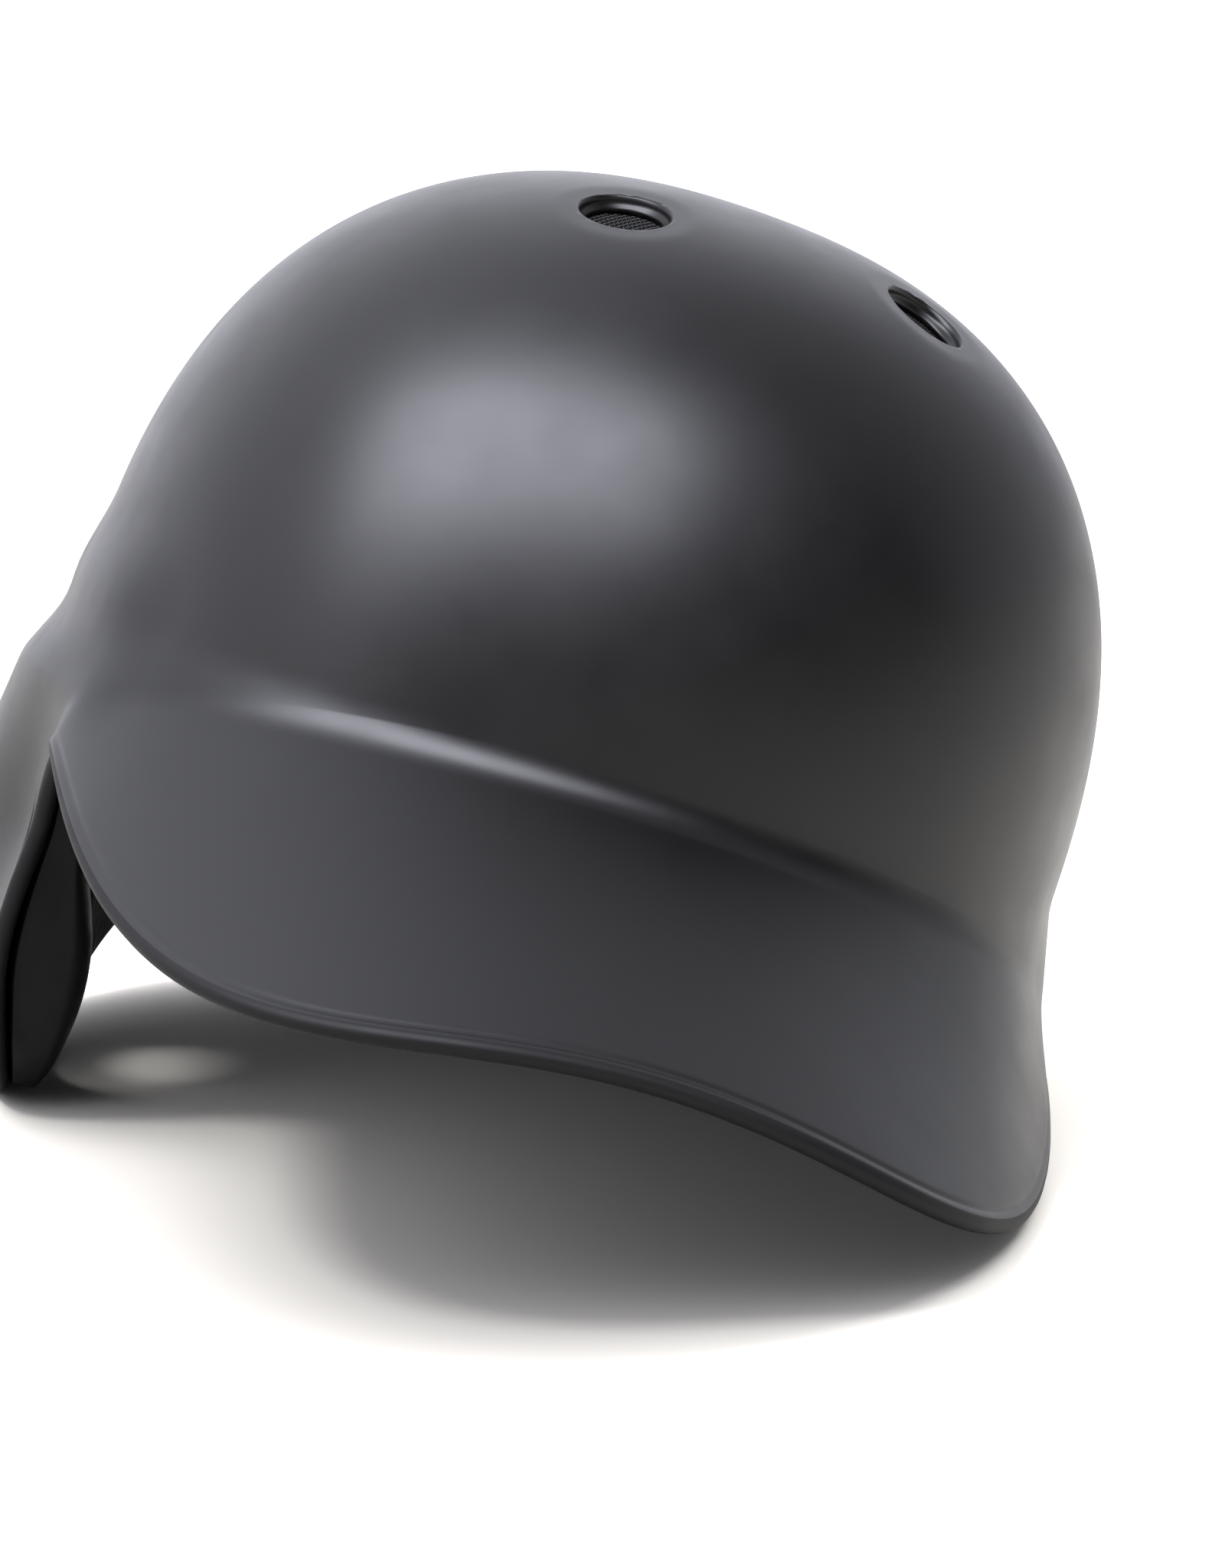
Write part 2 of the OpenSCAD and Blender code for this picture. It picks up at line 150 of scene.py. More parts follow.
def flare(turn, z):
    """Widening of the plan at a height: all but the swell above the flap is below the brim root."""
    a = np.abs(turn)
    depth = np.maximum(-z, 0)
    side = SIDE_FLARE * depth * (1 - smooth((a - 90) / 70)) - NAPE_TUCK * depth * smooth((a - 100) / 70)
    lead = CUP_LEAD * smooth((CUP_RISE - z) / CUP_RISE) * (1 - smooth((depth - 8) / 25))
    cup = CUP_BULGE * np.sin(2 * np.minimum(depth, 115) * DEG) * smooth(depth / CUP_RISE) + lead
    curl = (CUP_TURN_IN * np.exp(-(((a - NOTCH_TURN - 0.19 * depth) / CURL_WIDTH) ** 2))
            * smooth(depth / 52) * (1 - 0.4 * smooth((depth - 45) / 40)))
    on_flap = np.where(turn < 0, smooth((a - 58) / 14) * (1 - smooth((a - 116) / 44)), 0)
    return mix(side, cup - curl, on_flap)


def wall(turn, z):
    """Outer surface of the dome and skirt."""
    turn, z = np.broadcast_arrays(np.asarray(turn, float), np.asarray(z, float))
    up = np.clip(z / CROWN_H, 0, 1) * 0.999999
    k = (1 - up**DOME_POWER) ** (1 / DOME_POWER) + flare(turn, z)
    b = np.where(np.abs(turn) < 90, FRONT, BACK)
    s, c = np.sin(turn * DEG), np.cos(turn * DEG)
    r = ((np.abs(s) / HALF_W) ** PLAN_POWER + (np.abs(c) / b) ** PLAN_POWER) ** (-1 / PLAN_POWER) * k
    return np.stack([r * s, CROWN_SHIFT * up**2 - r * c, z], -1)


def wall_normal(turn, z):
    d = 0.5
    return unit(np.cross(wall(turn + d, z) - wall(turn - d, z), wall(turn, z + d) - wall(turn, z - d)))


def wall_at(turn, z, depth):
    return wall(turn, z) - np.asarray(depth)[..., None] * wall_normal(turn, z)


def crown(x, y):
    """Outer surface of the dome, found from above."""
    b = np.where(y < 0, FRONT, BACK)
    share = ((np.abs(x) / HALF_W) ** PLAN_POWER + (np.abs(y) / b) ** PLAN_POWER) ** (1 / PLAN_POWER)
    z = CROWN_H * (1 - np.minimum(share, 0.99) ** DOME_POWER) ** (1 / DOME_POWER)
    return np.stack([x, y + CROWN_SHIFT * (z / CROWN_H) ** 2, z], -1)


def plan_of(p):
    """Where a point of the dome is from above, before the crown's shift."""
    return p[..., 0], p[..., 1] - CROWN_SHIFT * (p[..., 2] / CROWN_H) ** 2


def crown_normal(x, y):
    d = 0.5
    return unit(np.cross(crown(x + d, y) - crown(x - d, y), crown(x, y + d) - crown(x, y - d)))


def crown_at(x, y, depth):
    return crown(x, y) - np.asarray(depth)[..., None] * crown_normal(x, y)


def brim_edge(turn):
    s = turn / NOTCH_TURN
    t = (1 - np.abs(s)) * 90 * DEG
    corner = wall(NOTCH_TURN, -ROOT_DROP - NOTCH_DEPTH)
    tip = np.array([0, -FRONT - BRIM_LEN * math.cos(BRIM_DROOP * DEG),
                    -BRIM_LEN * math.sin(BRIM_DROOP * DEG)])
    share = np.maximum(np.cos(t), 0) ** EDGE_SQUARE
    ahead = np.sin(t) ** EDGE_FALL
    return np.stack([np.sign(s) * corner[0] * share, mix(corner[1], tip[1], ahead),
                     mix(corner[2], tip[2], ahead) - BRIM_ARCH * share**2 * ahead
                     - NOTCH_DROP * (1 - ahead) ** 6], -1)


# ---------- the shell as a grid of columns (bearings) and rows (crown to rim) ----------
DOME_ROWS = 104
BLEND_ROWS = 14      # round the crease
PLATE_ROWS = 26      # down the brim, skirt or flap
RIM_ROWS = 16        # in the fine band along the rim
RIM_BAND = 8.0       # its width
ROUND_STEPS = 8      # steps round the edge of the moulding
VENT_DISH = 0.5      # depth and width of the shallow dish round each vent
VENT_DISH_W = 6.0
BEAD_IN = 1.7        # groove of the brim's bead, inside the edge's rounding
BEAD_W = 0.7         # and its half-width and depth
BEAD_DEEP = 0.26
BEAD_FADE = 8        # degrees over which it fades out towards the notches
SIDE_LOW = 3.6       # where the skirt's plain rows start, below the brim root
NOTCH_SOFT = 2.5     # half-width of the softened notch, in degrees
NOTCH_PASSES = 5
NOTCH_ROWS = 24      # rows of the dome over which the softening comes in


def shell_turns():
    """Bearings of the columns: finer at the flap's front edge, the notch and the middle of the brim."""
    q = np.linspace(-1, 1, 181)
    brim = NOTCH_TURN * np.sign(q) * np.abs(q) ** 1.45
    return np.concatenate([np.arange(-180, -92, 1.6), np.linspace(-92, -NOTCH_TURN, 42, endpoint=False),
                           brim, np.linspace(NOTCH_TURN, 90, 16)[1:], np.arange(91.6, 180, 1.6)])


def soften_notch(outer, turns):
    """Turns the sharp line above the flap's notch into a shallow valley, and rounds the notch."""
    near = np.exp(-(((turns + NOTCH_TURN) / NOTCH_SOFT) ** 2))
    rows = np.arange(outer.shape[1])
    share = near[:, None, None] * smooth((rows - DOME_ROWS + NOTCH_ROWS) / NOTCH_ROWS)[None, :, None]
    for _ in range(NOTCH_PASSES):
        outer = mix(outer, (np.roll(outer, 1, 0) + np.roll(outer, -1, 0)) / 2, share)
    return outer


def shell_outer(turns):
    """Points of the outer surface down to where the edge's rounding starts, and the rounding's depth."""
    front = (np.abs(turns) < NOTCH_TURN)[:, None, None]
    held = np.clip(np.abs(turns), 0, NOTCH_TURN)
    fillet = mix(FILLET, FILLET_END, smooth((held - 15) / 45))
    top = root_z(held) + fillet
    rows = np.arange(1, DOME_ROWS + 1)
    z = mix(top[:, None], CROWN_H, np.sin(90 * DEG * (1 - rows / DOME_ROWS)) ** (2 / DOME_POWER))
    dome = wall(turns[:, None], z)

    edge = brim_edge(np.clip(turns, -NOTCH_TURN, NOTCH_TURN))
    root = wall(turns, root_z(np.clip(turns, -NOTCH_TURN, NOTCH_TURN)))
    high = wall(turns, top)
    out = np.minimum(0.5, fillet / np.linalg.norm(edge - root, axis=1))[:, None]
    low = mix(root, edge, out)
    side_low = top - fillet - SIDE_LOW

    t = (np.arange(1, BLEND_ROWS + 1) / BLEND_ROWS)[None, :, None]
    blend = (1 - t) ** 2 * high[:, None] + 2 * t * (1 - t) * root[:, None] + t**2 * low[:, None]
    t = t[..., 0]
    side_z = ((1 - t) ** 2 * top[:, None] + 2 * t * (1 - t) * (top - fillet)[:, None]
              + t**2 * side_low[:, None])
    blend = np.where(front, blend, wall(turns[:, None], side_z))

    rim = rim_z(turns)
    length = np.where(np.abs(turns) < NOTCH_TURN, np.linalg.norm(edge - low, axis=1), side_low - rim)
    band = np.minimum(RIM_BAND, 0.6 * length)
    round_in = np.minimum(SHELL_T / 2, 0.3 * length)
    coarse = np.arange(1, PLATE_ROWS + 1) / PLATE_ROWS
    fine = np.arange(1, RIM_ROWS + 1) / RIM_ROWS
    left = np.concatenate([length[:, None] - (length - band)[:, None] * coarse,
                           band[:, None] - (band - round_in)[:, None] * fine], 1)
    x = 1 - left / length[:, None]
    plate = np.where(front, mix(low[:, None], edge[:, None], x[..., None]),
                     wall(turns[:, None], mix(side_low[:, None], rim[:, None], x)))
    return soften_notch(np.concatenate([dome, blend, plate], 1), turns), round_in


def grid_normals(grid):
    """Outward normals of a grid that closes round its first axis."""
    down = np.gradient(grid, axis=1)
    round_ = np.roll(grid, -1, 0) - np.roll(grid, 1, 0)
    return unit(np.cross(round_, -down))


def edge_distance(points, line):
    """Least distance of each point from a polyline."""
    a, b = line[:-1], line[1:]
    ab = b - a
    best = np.full(len(points), 1e3)
    for start, step in zip(a, ab):
        share = np.clip(((points - start) @ step) / (step @ step), 0, 1)
        best = np.minimum(best, np.linalg.norm(points - start - share[:, None] * step, axis=1))
    return best


def edge_rounding(outer, inner, normal, round_in):
    """Rows round the edge of the moulding, from the outer surface to the inner one."""
    tangent = unit(np.roll(outer[:, -1], -1, 0) - np.roll(outer[:, -1], 1, 0))
    ahead = unit(np.cross(tangent, normal[:, -1]))
    middle = (outer[:, -1] + inner[:, -1]) / 2
    side = (outer[:, -1] - inner[:, -1]) / 2
    angle = np.arange(1, ROUND_STEPS) / ROUND_STEPS * math.pi
    return (middle[:, None] + side[:, None] * np.cos(angle)[None, :, None]
            + (ahead * round_in[:, None])[:, None] * np.sin(angle)[None, :, None])


def dish_vents(outer, normal):
    """Sinks the surface a little round each vent."""
    for turn in VENT_TURNS:
        far = np.linalg.norm(outer - wall(turn, VENT_Z), axis=2)
        outer = outer - (VENT_DISH * (1 - smooth((far - VENT_R) / VENT_DISH_W)))[..., None] * normal
    return outer


def groove_bead(outer, normal, turns):
    """Cuts a shallow groove along the brim's edge, which fades out towards both notches."""
    brim = np.abs(turns) < NOTCH_TURN
    plate = slice(DOME_ROWS + BLEND_ROWS, None)
    near = outer[brim][:, plate]
    left = edge_distance(near.reshape(-1, 3), outer[brim, -1]).reshape(near.shape[:2])
    fade = smooth((NOTCH_TURN - np.abs(turns[brim])) / BEAD_FADE)[:, None]
    groove = BEAD_DEEP * np.exp(-(((left - BEAD_IN) / BEAD_W) ** 2)) * fade
    place = outer[brim]
    place[:, plate] -= groove[..., None] * normal[brim][:, plate]
    outer[brim] = place
    return outer


def shell_grids():
    """The shell's outer surface, its rounded edge and its inner surface."""
    turns = shell_turns()
    outer, round_in = shell_outer(turns)
    normal = grid_normals(outer)
    inner = outer - SHELL_T * normal
    rounding = edge_rounding(outer, inner, normal, round_in)
    return groove_bead(dish_vents(outer, normal), normal, turns), rounding, inner


def to_rest(p):
    """Upright millimetres to the row frame in metres: the helmet lies on its flap, rim and brim."""
    a, b = LEAN * DEG, NOD * DEG
    x = p[..., 0] * math.cos(a) + p[..., 2] * math.sin(a)
    z = p[..., 2] * math.cos(a) - p[..., 0] * math.sin(a)
    y = p[..., 1] * math.cos(b) + z * math.sin(b)
    z = z * math.cos(b) - p[..., 1] * math.sin(b)
    return (np.stack([x, y, z], -1) + REST_SHIFT) * MM


# The middle of the box that the shell takes up at rest goes to the origin, on the floor
REST_SHIFT = np.zeros(3)
OUTER, ROUNDING, INNER = shell_grids()
_span = to_rest(np.concatenate([grid.reshape(-1, 3) for grid in (OUTER, ROUNDING, INNER)])) / MM
REST_SHIFT = -np.array([(_span[:, 0].min() + _span[:, 0].max()) / 2,
                        (_span[:, 1].min() + _span[:, 1].max()) / 2, _span[:, 2].min()])


# ---------------------------------------------------------------------------
# Mesh helpers
# ---------------------------------------------------------------------------
CROSS_HINT = [0, 1, 0.3]     # any direction that no round hole's axis lies along


def new_object(name, points, faces, materials, zones=None, smooth_faces=True):
    mesh = bpy.data.meshes.new(name)
    mesh.from_pydata([tuple(p) for p in points], [], [tuple(int(i) for i in f) for f in faces])
    for m in materials:
        mesh.materials.append(m)
    if zones is not None:
        mesh.polygons.foreach_set("material_index", np.asarray(zones, np.int32))
    if smooth_faces:
        mesh.polygons.foreach_set("use_smooth", np.ones(len(mesh.polygons), bool))
    mesh.update()
    obj = bpy.data.objects.new(name, mesh)
    bpy.context.collection.objects.link(obj)
    return obj


def ring_faces(columns, rows):
    """Quads of a grid that closes round its first axis."""
    i, j = np.meshgrid(np.arange(columns), np.arange(rows - 1), indexing="ij")
    n = (i + 1) % columns
    return np.stack([i * rows + j, i * rows + j + 1, n * rows + j + 1, n * rows + j], -1).reshape(-1, 4)


def grid_quads(columns, rows):
    """Quads of an open grid, each as four indices."""
    index = np.arange(columns * rows).reshape(columns, rows)
    return np.stack([index[:-1, :-1], index[1:, :-1], index[1:, 1:], index[:-1, 1:]], -1).reshape(-1, 4)


def hoop_faces(hoops, sides, closed=False, start=0):
    """Quads between hoops of points that follow one another along a tube."""
    faces = []
    for i in range(hoops if closed else hoops - 1):
        n = (i + 1) % hoops
        for k in range(sides):
            m = (k + 1) % sides
            faces.append((start + i * sides + k, start + i * sides + m,
                          start + n * sides + m, start + n * sides + k))
    return faces


def end_caps(hoops, sides):
    """The two faces that close an open tube."""
    return [tuple(range(sides))[::-1], tuple((hoops - 1) * sides + k for k in range(sides))]


def circle(steps):
    return np.arange(steps) / steps * 2 * math.pi


def fix_normals(obj, merge=0.0):
    """Turns all faces outwards, and first merges points that are closer than a distance."""
    mesh = bmesh.new()
    mesh.from_mesh(obj.data)
    if merge:
        bmesh.ops.remove_doubles(mesh, verts=mesh.verts, dist=merge)
    bmesh.ops.recalc_face_normals(mesh, faces=mesh.faces)
    mesh.to_mesh(obj.data)
    mesh.free()


def apply_modifiers(obj):
    bpy.context.view_layer.update()
    graph = bpy.context.evaluated_depsgraph_get()
    mesh = bpy.data.meshes.new_from_object(obj.evaluated_get(graph), preserve_all_data_layers=True,
                                           depsgraph=graph)
    obj.modifiers.clear()
    old = obj.data
    obj.data = mesh
    bpy.data.meshes.remove(old)


def lathe(name, profile, place, normal, materials, steps=96):
    """Closed cutter turned round an axis from a place of the helmet; profile is (radius, height)."""
    axis = unit(np.asarray(normal, float))
    across = unit(np.cross(axis, CROSS_HINT))
    other = np.cross(axis, across)
    angle = circle(steps)
    round_ = np.cos(angle)[:, None] * across + np.sin(angle)[:, None] * other
    points = np.concatenate([place + round_ * r + axis * h for r, h in profile])
    faces = hoop_faces(len(profile), steps) + end_caps(len(profile), steps)
    return new_object(name, to_rest(points), faces, materials)


def cut(obj, cutters):
    for c in cutters:
        m = obj.modifiers.new("cut", "BOOLEAN")
        m.operation = "DIFFERENCE"
        m.solver = "EXACT"
        m.object = c
    apply_modifiers(obj)
    for c in cutters:
        bpy.data.objects.remove(c, do_unlink=True)


# ---------------------------------------------------------------------------
# Materials
# ---------------------------------------------------------------------------
class Nodes:
    """A short way to write a node material."""

    def __init__(self, name):
        self.material = bpy.data.materials.new(name)
        self.material.use_nodes = True
        self.tree = self.material.node_tree
        self.shader = self.tree.nodes["Principled BSDF"]
        self.place = self.add("ShaderNodeTexCoord").outputs["Object"]

    def add(self, kind, **values):
        node = self.tree.nodes.new(kind)
        for key, value in values.items():
            setattr(node, key, value)
        return node

    def join(self, value, socket):
        if hasattr(value, "links"):
            self.tree.links.new(value, socket)
        else:
            socket.default_value = value

    def set(self, **values):
        for key, value in values.items():
            self.join(value, self.shader.inputs[key.replace("_", " ")])

    def noise(self, scale, detail=3.0, rough=0.5, place=None):
        node = self.add("ShaderNodeTexNoise")
        self.join(place or self.place, node.inputs["Vector"])
        self.join(scale, node.inputs["Scale"])
        self.join(detail, node.inputs["Detail"])
        self.join(rough, node.inputs["Roughness"])
        return node.outputs["Fac"]

    def map(self, value, low, high, out_low, out_high):
        node = self.add("ShaderNodeMapRange")
        keys = ("Value", "From Min", "From Max", "To Min", "To Max")
        for key, v in zip(keys, (value, low, high, out_low, out_high)):
            self.join(v, node.inputs[key])
        return node.outputs["Result"]

    def mix(self, factor, a, b):
        node = self.add("ShaderNodeMix", data_type="RGBA")
        self.join(factor, node.inputs["Factor"])
        self.join(a, node.inputs[6])
        self.join(b, node.inputs[7])
        return node.outputs[2]

    def cells(self, feature, scale):
        """Distance to the middle or the edge of the cells that fill the space."""
        node = self.add("ShaderNodeTexVoronoi", feature=feature)
        self.join(self.place, node.inputs["Vector"])
        self.join(scale, node.inputs["Scale"])
        return node.outputs["Distance"]

    def wave(self, place, scale, axis):
        node = self.add("ShaderNodeTexWave", wave_type="BANDS", bands_direction=axis, wave_profile="SIN")
        self.join(place, node.inputs["Vector"])
        self.join(scale, node.inputs["Scale"])
        return node.outputs["Fac"]

    def math(self, kind, *values):
        node = self.add("ShaderNodeMath", operation=kind)
        for socket, v in zip(node.inputs, values):
            self.join(v, socket)
        return node.outputs[0]

    def bump(self, height, strength, distance, normal=None):
        node = self.add("ShaderNodeBump")
        self.join(height, node.inputs["Height"])
        self.join(strength, node.inputs["Strength"])
        self.join(distance, node.inputs["Distance"])
        if normal:
            self.join(normal, node.inputs["Normal"])
        return node.outputs["Normal"]


def grey(v, cool=1.0):
    """A dark neutral colour; cool above 1 makes it bluer."""
    return (v, v, v * cool, 1)


def matte_paint(name="matte_paint", rough=(0.37, 0.42), shine=0.48):
    """Matte black paint with a fine grain, cloudy at a larger scale."""
    m = Nodes(name)
    cloud = m.noise(14, 3)
    m.set(Base_Color=m.mix(cloud, grey(0.0060, 1.15), grey(0.0075, 1.15)),
          Roughness=m.map(m.noise(60, 4), 0.3, 0.7, *rough), Specular_IOR_Level=shine)
    fine = m.bump(m.noise(1400, 2), 0.12, 0.00004)
    m.set(Normal=m.bump(m.noise(260, 2), 0.10, 0.0001, fine))
    return m.material


def moulded_plastic():
    """The shell's bare inside, smoother than the paint."""
    m = Nodes("moulded_plastic")
    m.set(Base_Color=m.mix(m.noise(30, 3), grey(0.012), grey(0.018)),
          Roughness=m.map(m.noise(120, 4), 0.3, 0.7, 0.26, 0.36))
    m.set(Normal=m.bump(m.noise(900, 2), 0.15, 0.00005))
    return m.material


# ---------------------------------------------------------------------------
# The shell
# ---------------------------------------------------------------------------
PAINT, PLASTIC, EDGE = 0, 1, 2     # the shell's material slots
LIP_R = 1.5                        # rounding of a hole's rim
LIP_TURN = np.linspace(0, 1.35, 8)
VENT_STEP = 1.1                    # the vent's wall is narrower below its step
HOLE_FLARE = 2.2


def crown_point(turn):
    """Centre of a vent on the dome, and its outward normal."""
    p = wall(turn, VENT_Z)
    return p, crown_normal(*plan_of(p))


def vent_places():
    return [crown_point(turn) for turn in VENT_TURNS]


def shell_faces(columns, rows, outer_rows, edge_rows):
    """Faces of the closed grid and of both fans at the crown, with each face's material slot."""
    faces = [tuple(f) for f in ring_faces(columns, rows)]
    zones = [PAINT if j < outer_rows - 1 else EDGE if j < edge_rows else PLASTIC
             for j in range(rows - 1)] * columns
    apex = columns * rows
    for i in range(columns):
        n = (i + 1) % columns
        faces.append((apex, i * rows, n * rows))
        faces.append((apex + 1, n * rows + rows - 1, i * rows + rows - 1))
        zones += [PAINT, PLASTIC]
    return faces, zones


def hole_lip(radius, sunk=0.0):
    """Profile of a rounded rim, from the hole's wall outwards."""
    return [(radius + LIP_R * (1 - math.cos(a)), -LIP_R + LIP_R * math.sin(a) - sunk) for a in LIP_TURN]


def shell_cutters(materials):
    cutters = []
    for k, (place, normal) in enumerate(vent_places()):
        narrow = VENT_R - VENT_STEP
        profile = [(narrow, -8), (narrow, -3.0), (VENT_R - 0.1, -2.8), *hole_lip(VENT_R, VENT_DISH),
                   (VENT_R + HOLE_FLARE, 4)]
        cutters.append(lathe(f"vent_cut_{k}", profile, place, normal, materials))
    profile = [(EAR_HOLE_R, -12), *hole_lip(EAR_HOLE_R), (EAR_HOLE_R + HOLE_FLARE, 6)]
    cutters.append(lathe("ear_cut", profile, wall(EAR_HOLE_TURN, EAR_HOLE_Z),
                         wall_normal(EAR_HOLE_TURN, EAR_HOLE_Z), materials))
    return cutters


def make_shell():
    paint, plastic = matte_paint(), moulded_plastic()
    edge_paint = matte_paint("edge_paint", (0.52, 0.60), 0.30)
    grid = np.concatenate([OUTER, ROUNDING, INNER[:, ::-1]], 1)
    columns, rows = grid.shape[:2]
    outer_rows = OUTER.shape[1]
    top = np.array([[0, CROWN_SHIFT, CROWN_H], [0, CROWN_SHIFT, CROWN_H - SHELL_T]])
    points = np.concatenate([grid.reshape(-1, 3), top])
    faces, zones = shell_faces(columns, rows, outer_rows, outer_rows + ROUNDING.shape[1])
    shell = new_object("helmet_shell", to_rest(points), faces, [paint, plastic, edge_paint], zones)
    cut(shell, shell_cutters([paint, plastic]))
    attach(shell, "root")
    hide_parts("outer_shell")


# ---------------------------------------------------------------------------
# Padding. A slab lies along the wall between two bearings and two heights, or on the crown
# over a rectangle seen from above. u and v run over it in millimetres, w from its back face.
# ---------------------------------------------------------------------------
def wall_place(turn_mid, z_mid):
    """Maps u, v, depth on the wall round a middle point to upright millimetres."""
    middle = wall(turn_mid, z_mid)
    radius = math.hypot(middle[0], middle[1])

    def place(u, v, depth):
        return wall_at(turn_mid + u / radius / DEG, z_mid + v, depth)
    return place, radius


def crown_place(x_mid, y_mid):
    """The same over a middle point of the crown, seen from above."""
    def place(u, v, depth):
        return crown_at(x_mid + u, y_mid + v, depth)
    return place


def slab_grid(steps):
    """Square parameters from -1 to 1, closer together near the ends."""
    t = np.linspace(-1, 1, steps)
    return np.sign(t) * (1 - (1 - np.abs(t)) ** 1.5)


def rounded_plan(a, b, half_u, half_v, corner):
    """A square's points moved onto a rounded rectangle; also each point's distance from its outline."""
    u, v = a * half_u, b * half_v
    cu = np.clip(u, corner - half_u, half_u - corner)
    cv = np.clip(v, corner - half_v, half_v - corner)
    du, dv = u - cu, v - cv
    most = np.maximum(np.abs(du), np.abs(dv))
    size = np.maximum(np.hypot(du, dv), 1e-9)
    scale = np.where(size > 1e-6, most / size, 1)
    u, v = cu + du * scale, cv + dv * scale
    inside = np.where(most > 1e-6, corner - most, np.minimum(half_u - np.abs(u), half_v - np.abs(v)))
    return u, v, inside


def channel_share(u, v, channel):
    """1 along a sewn channel, falling to 0 on both sides of it."""
    along, at, _, wide = channel
    across = v if along == "u" else u
    return np.exp(-(((across - at) / wide) ** 2))


def add_weave_map(obj, plan):
    """A flat map in metres, for the fabric's weave."""
    uv = obj.data.uv_layers.new(name="weave")
    loops = np.zeros(len(obj.data.loops), np.int32)
    obj.data.loops.foreach_get("vertex_index", loops)
    uv.data.foreach_set("uv", plan[loops].reshape(-1).astype(np.float32))


def hold(obj, shares):
    """The places where the cloth simulation can't move a cover."""
    pins = obj.vertex_groups.new(name="held")
    for i, share in enumerate(shares):
        pins.add([i], float(share), "REPLACE")


def make_slab(name, place, half_u, half_v, back, thick, materials, corner=10, edge=4, crown=0.0,
              channels=(), steps=(56, 40), warp=None):
    """A closed slab with rounded edges, a crowned face and sewn channels; warp bends its plan.

    Returns the slab and the outline of its back, in upright millimetres."""
    a, b = np.meshgrid(slab_grid(steps[0]), slab_grid(steps[1]), indexing="ij")
    u, v, inside = rounded_plan(a, b, half_u, half_v, corner)
    rise = np.sqrt(np.clip(1 - (1 - np.clip(inside / edge, 0, 1)) ** 2, 0, 1))
    front = (thick - crown) * rise + crown * (1 - a**2) * (1 - b**2)
    for channel in channels:
        front = front - channel[2] * channel_share(u, v, channel) * rise
    if warp:
        u, v = warp(u, v)
    top = place(u, v, back + front).reshape(-1, 3)
    under = place(u, v, back + 0 * front).reshape(-1, 3)
    m, n = steps
    index = np.arange(m * n).reshape(m, n)
    quads = grid_quads(m, n)
    ring = np.concatenate([index[:, 0], index[-1, 1:], index[-2::-1, -1], index[0, -2:0:-1]])
    inner = np.setdiff1d(index.reshape(-1), ring)
    under_index = np.arange(m * n)
    under_index[inner] = m * n + np.arange(len(inner))
    points = np.concatenate([top, under[inner]])
    faces = np.concatenate([quads[:, ::-1], under_index[quads]])
    slab = new_object(name, to_rest(points), faces, materials)
    plan = np.stack([u, v], -1).reshape(-1, 2)
    plan = np.concatenate([plan, plan[inner]]) * MM
    add_weave_map(slab, plan)
    fix_normals(slab)
    held = np.zeros(m * n)
    for channel in channels:
        held = np.maximum(held, channel_share(u, v, channel).reshape(-1))
    held[ring] = 1
    hold(slab, np.concatenate([held, np.ones(len(inner))]))
    return slab, under[ring]


def tube_mesh(path, radius, sides, closed):
    path = np.asarray(path, float)
    ahead = unit(np.roll(path, -1, 0) - np.roll(path, 1, 0))
    if not closed:
        ahead[0], ahead[-1] = unit(path[1] - path[0]), unit(path[-1] - path[-2])
    lead = unit(np.cross(ahead, [0.3, 0.2, 1.0]))
    other = np.cross(ahead, lead)
    angle = circle(sides)
    points = (path[:, None] + radius * (np.cos(angle)[None, :, None] * lead[:, None]
                                        + np.sin(angle)[None, :, None] * other[:, None]))
    faces = hoop_faces(len(path), sides, closed)
    return points.reshape(-1, 3), faces if closed else faces + end_caps(len(path), sides)


def piping(name, path, radius, materials, sides=8):
    """A closed cord along a path in upright millimetres."""
    points, faces = tube_mesh(path, radius, sides, True)
    obj = new_object(name, to_rest(points), faces, materials)
    fix_normals(obj)
    return obj


LAST_FRAME = 20
CLOTH = {"quality": 6, "mass": 0.15, "tension_stiffness": 12, "compression_stiffness": 12,
         "shear_stiffness": 4, "use_pressure": True, "uniform_pressure_force": 4,
         "vertex_group_mass": "held"}


def points_of(mesh):
    flat = np.zeros(3 * len(mesh.vertices), np.float32)
    mesh.vertices.foreach_get("co", flat)
    return flat


def simulated_points(obj, slack, stiff):
    """Where the cover's points are after it has been blown up, held at its edges and seams."""
    scene = bpy.context.scene
    cloth = obj.modifiers.new("fill", "CLOTH")
    for key, value in CLOTH.items():
        setattr(cloth.settings, key, value)
    cloth.settings.bending_stiffness = stiff
    cloth.settings.shrink_min = -slack
    cloth.settings.effector_weights.gravity = 0
    cloth.collision_settings.use_collision = False
    cloth.point_cache.frame_start, cloth.point_cache.frame_end = 1, LAST_FRAME
    for number in range(1, LAST_FRAME + 1):
        scene.frame_set(number)
    points = points_of(obj.evaluated_get(bpy.context.evaluated_depsgraph_get()).data)
    obj.modifiers.clear()
    scene.frame_set(1)
    return points


def puff(obj, cap, slack=0.02, stiff=0.3):
    """Fills a cover by cloth simulation, with no point moving further than the cap, and smooths it."""
    before = points_of(obj.data)
    move = (simulated_points(obj, slack, stiff) - before).reshape(-1, 3)
    far = np.maximum(np.linalg.norm(move, axis=1, keepdims=True), 1e-9)
    move *= np.tanh(far / cap) * cap / far
    obj.data.vertices.foreach_set("co", before + move.reshape(-1))
    obj.data.update()
    smooth_once = obj.modifiers.new("smooth", "SUBSURF")
    smooth_once.levels = smooth_once.render_levels = 1
    apply_modifiers(obj)


